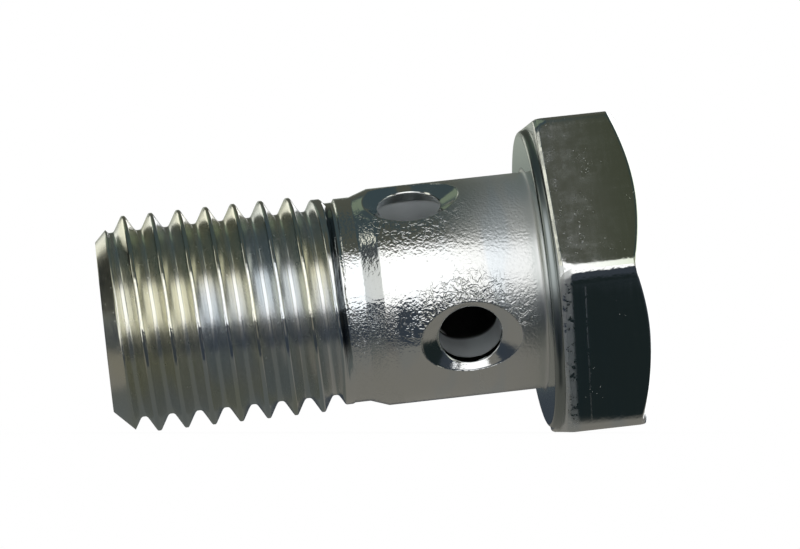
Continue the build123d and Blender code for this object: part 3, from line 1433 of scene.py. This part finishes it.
# ----------------------------------------------------------------------------- stage
class Tone(Enum):
    """What the cards round the bolt give back, as light."""

    WHITE = (1.5, 1.5, 1.5)
    CREAM = (1.1, 1.1, 0.96)
    PALE = (0.86, 0.88, 0.87)
    MIST = (0.37, 0.40, 0.35)
    GREY = (0.215, 0.208, 0.187)
    IRON = (0.118, 0.127, 0.118)
    SEA = (0.15, 0.175, 0.165)
    OLIVE = (0.088, 0.093, 0.075)
    BLUE = (0.055, 0.078, 0.085)
    SAGE = (0.20, 0.25, 0.18)
    DUSK = (0.06, 0.068, 0.075)
    NIGHT = (0.02, 0.022, 0.02)
    POND = (0.013, 0.020, 0.021)
    DEEP = (0.042, 0.052, 0.066)


@dataclass(frozen=True)
class Patch:
    """One area of a card: its spans across and up the card, its soft edges and its tone."""

    across: tuple[float, float]
    up: tuple[float, float]
    soft: tuple[float, float]
    tone: Tone


@dataclass
class Studio:
    """The floor, the backdrop, the cards that the metal mirrors, and the camera."""

    lie: Lie
    eye: tuple[float, float, float] = (-21.233, -219.403, -8.0)
    forward: tuple[float, float, float] = (0.06327, 0.99729, 0.03761)
    lens: float = 180.72
    sensor: float = 36.0
    clip: tuple[float, float] = (0.005, 20.0)
    even_light: float = 0.7
    floor_colour: tuple[float, float, float, float] = (0.9, 0.9, 0.9, 1.0)
    floor_glow: float = 1.05
    floor_share: float = 0.88
    floor_reach: float = 3.0
    card_reach: float = 1.19
    card_lift: float = 0.00004
    tent_radius: float = 1.2
    tent_columns: int = 72
    tent_rings: range = range(-4, 90, 4)
    tent_seam: float = 170.0
    tent_patches: tuple[Patch, ...] = (
        Patch((24.0, 167.0), (32.0, 86.0), (8.0, 5.0), Tone.BLUE),
        Patch((-163.0, -20.0), (32.0, 86.0), (8.0, 5.0), Tone.BLUE),
        Patch((134.0, 164.0), (36.0, 58.0), (5.0, 8.0), Tone.SAGE),
        Patch((166.0, 184.0), (-8.0, 14.0), (4.0, 5.0), Tone.SEA),
        Patch((166.0, 184.0), (2.6, 14.0), (4.0, 1.6), Tone.MIST),
        Patch((45.5, 58.5), (-8.0, 44.0), (2.0, 8.0), Tone.DUSK),
        Patch((61.0, 79.0), (-8.0, 52.0), (3.0, 6.0), Tone.CREAM),
        Patch((81.5, 132.0), (-8.0, 42.0), (3.0, 8.0), Tone.NIGHT),
        Patch((136.0, 162.0), (6.0, 30.0), (5.0, 6.0), Tone.CREAM),
        Patch((-64.0, -42.0), (-8.0, 38.0), (6.0, 8.0), Tone.CREAM),
        Patch((-174.0, -102.0), (-8.0, 28.0), (3.0, 5.0), Tone.WHITE),
        Patch((10.0, 43.0), (-20.0, 44.0), (2.0, 10.0), Tone.PALE),
        Patch((-26.0, 25.0), (-20.0, 46.0), (5.0, 12.0), Tone.WHITE),
    )
    floor_patches: tuple[Patch, ...] = (
        Patch((-700.0, 10.0), (-2000.0, -45.0), (5.0, 18.0), Tone.WHITE),
        Patch((-1300.0, -36.0), (-1300.0, -20.0), (6.0, 8.0), Tone.PALE),
        Patch((-60.0, -31.0), (-32.0, -11.0), (3.0, 4.0), Tone.WHITE),
        Patch((5.0, 60.0), (-2000.0, -58.0), (5.0, 8.0), Tone.WHITE),
        Patch((-16.0, -10.5), (-60.0, -33.0), (1.0, 4.0), Tone.WHITE),
        Patch((-15.0, -9.3), (-31.0, -15.0), (1.0, 3.0), Tone.GREY),
        Patch((-700.0, 700.0), (250.0, 2000.0), (5.0, 60.0), Tone.SEA),
        Patch((0.0, 9.0), (-15.0, 0.0), (1.0, 3.0), Tone.POND),
        Patch((-34.0, 0.6), (-8.3, 7.0), (2.0, 1.6), Tone.GREY),
        Patch((-25.5, -10.8), (-8.3, 7.0), (1.0, 1.6), Tone.IRON),
        Patch((0.0, 9.0), (-5.5, 5.0), (1.0, 0.8), Tone.GREY),
        Patch((9.5, 120.0), (-9.0, 90.0), (1.0, 4.0), Tone.WHITE),
        Patch((60.0, 1300.0), (20.0, 1300.0), (10.0, 10.0), Tone.WHITE),
    )

    def camera(self) -> None:
        """Places the camera."""
        data = bpy.data.cameras.new("camera")
        data.lens = self.lens
        data.sensor_width = self.sensor
        data.clip_start, data.clip_end = self.clip
        camera = bpy.data.objects.new("camera", data)
        bpy.context.scene.collection.objects.link(camera)
        forward = Vector(self.forward).normalized()
        right = forward.cross(Vector((0.0, 0.0, 1.0))).normalized()
        up = right.cross(forward)
        turn = Matrix((right, up, -forward)).transposed().to_4x4()
        camera.matrix_world = Matrix.Translation(Vector(self.eye) * MM) @ turn
        bpy.context.scene.camera = camera

    def seen(self, tree: bpy.types.NodeTree) -> Wire:
        """1 for what the camera, a mirror or glass shows."""
        path = tree.nodes.new("ShaderNodeLightPath")
        found = Wire(tree, path.outputs["Is Camera Ray"])
        for name in ("Is Glossy Ray", "Is Transmission Ray"):
            found = found.math("MAXIMUM", Wire(tree, path.outputs[name]))
        return found

    def world(self) -> None:
        """Lights the scene evenly, and shows white behind it."""
        world = bpy.data.worlds.new("studio")
        bpy.context.scene.world = world
        world.use_nodes = True
        tree = world.node_tree
        tree.nodes.clear()
        level = self.seen(tree) * (1.0 - self.even_light) + self.even_light
        back = tree.nodes.new("ShaderNodeBackground")
        back.inputs["Color"].default_value = (1.0, 1.0, 1.0, 1.0)
        tree.links.new(level.source, back.inputs["Strength"])
        tree.links.new(back.outputs[0], tree.nodes.new("ShaderNodeOutputWorld").inputs[0])

    def floor(self) -> None:
        """Lays the pale floor."""
        graph = Graph("pale_floor")
        shader = graph.node("ShaderNodeBsdfDiffuse")
        graph.feed(shader.inputs["Color"], self.floor_colour)
        glow = graph.node("ShaderNodeEmission")
        graph.feed(glow.inputs["Strength"], self.floor_glow)
        mix = graph.node("ShaderNodeMixShader")
        graph.feed(mix.inputs[0], self.seen(graph.tree) * self.floor_share)
        graph.feed(mix.inputs[1], shader.outputs[0])
        graph.feed(mix.inputs[2], glow.outputs[0])
        graph.feed(graph.out.inputs["Surface"], mix.outputs[0])
        self.card("floor", graph.material, self.level_square(self.floor_reach, 0.0), [(0, 1, 2, 3)])

    def level_square(self, reach: float, lift: float) -> list[tuple[float, float, float]]:
        """Corners of a level square about the origin, at a height above the floor."""
        z = self.lie.floor_height() + lift
        return [(-reach, -reach, z), (reach, -reach, z), (reach, reach, z), (-reach, reach, z)]

    def card(self, name: str, material: bpy.types.Material, corners: list[tuple[float, float, float]],
             faces: list[tuple[int, ...]]) -> bpy.types.Object:
        """Sets up a card.

        Args:
            name: The card's name.
            material: Its material.
            corners: Its corners, in metres.
            faces: The corners of each face.

        Returns:
            The card.
        """
        mesh = bpy.data.meshes.new(name)
        mesh.from_pydata(corners, [], faces)
        mesh.materials.append(material)
        card = bpy.data.objects.new(name, mesh)
        bpy.context.scene.collection.objects.link(card)
        return card

    def mirrored_only(self, card: bpy.types.Object) -> None:
        """Lets only reflections show a card."""
        card.visible_camera = False
        card.visible_diffuse = False
        card.visible_shadow = False
        card.visible_transmission = False

    def painted(self, graph: Graph, across: Wire, up: Wire, ground: Tone,
                patches: tuple[Patch, ...]) -> bpy.types.Material:
        """Paints patches of light on a card.

        Args:
            graph: The card's material.
            across: Place across the card.
            up: Place up the card.
            ground: The tone between the patches.
            patches: The patches, from the lowest to the topmost.

        Returns:
            The card's material.
        """
        light = ground.value
        for patch in patches:
            share = across.within(patch.across, patch.soft[0]) * up.within(patch.up, patch.soft[1])
            light = graph.blend(light, patch.tone.value, share)
        glow = graph.node("ShaderNodeEmission")
        graph.feed(glow.inputs["Color"], light)
        graph.feed(graph.out.inputs["Surface"], glow.outputs[0])
        return graph.material

    def tent(self) -> None:
        """Sets up the tent round the bolt, painted by azimuth, leftwards from the front, and height."""
        graph = Graph("tent_card")
        x, y, z = graph.split(graph.node("ShaderNodeTexCoord").outputs["Object"])
        azimuth = (x * -1.0).math("ARCTAN2", y * -1.0).math("DEGREES")
        azimuth = azimuth + (azimuth * -1.0 - self.tent_seam).over(0.0) * 360.0
        height = z.math("ARCTAN2", (x * x + y * y).math("SQRT")).math("DEGREES")
        material = self.painted(graph, azimuth, height, Tone.OLIVE, self.tent_patches)
        columns = self.tent_columns
        rings = [math.radians(degrees) for degrees in self.tent_rings]
        corners = [(self.tent_radius * math.cos(lift) * math.sin(turn),
                    self.tent_radius * math.cos(lift) * math.cos(turn),
                    self.tent_radius * math.sin(lift))
                   for lift in rings for turn in even_turns(columns)]
        faces = [(row * columns + k, row * columns + (k + 1) % columns,
                  (row + 1) * columns + (k + 1) % columns, (row + 1) * columns + k)
                 for row in range(len(rings) - 1) for k in range(columns)]
        faces.append(tuple(range((len(rings) - 1) * columns, len(rings) * columns)))
        self.mirrored_only(self.card("tent", material, corners, faces))

    def floor_card(self) -> None:
        """Lays a card on the floor, painted by place in millimetres."""
        graph = Graph("floor_card")
        x, y, _ = graph.split(graph.node("ShaderNodeTexCoord").outputs["Object"])
        material = self.painted(graph, x / MM, y / MM, Tone.DEEP, self.floor_patches)
        corners = self.level_square(self.card_reach, self.card_lift)
        self.mirrored_only(self.card("floor_card", material, corners, [(0, 1, 2, 3)]))

    def build(self) -> None:
        """Sets up the studio."""
        self.camera()
        self.world()
        self.floor()
        self.floor_card()
        self.tent()


def main() -> None:
    """Builds the bolt and its studio, and reports each piece."""
    logging.basicConfig(level=logging.INFO, format="%(name)s: %(message)s")
    scene = bpy.context.scene
    scene.view_settings.view_transform = "Standard"
    bolt = BanjoBolt()
    Studio(bolt.lie).build()
    log.info("studio: floor at %.5f m", bolt.lie.floor_height())
    look = bolt.build()
    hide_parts("banjo_bolt")
    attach(look, "root")


if __name__ == "__main__":
    main()
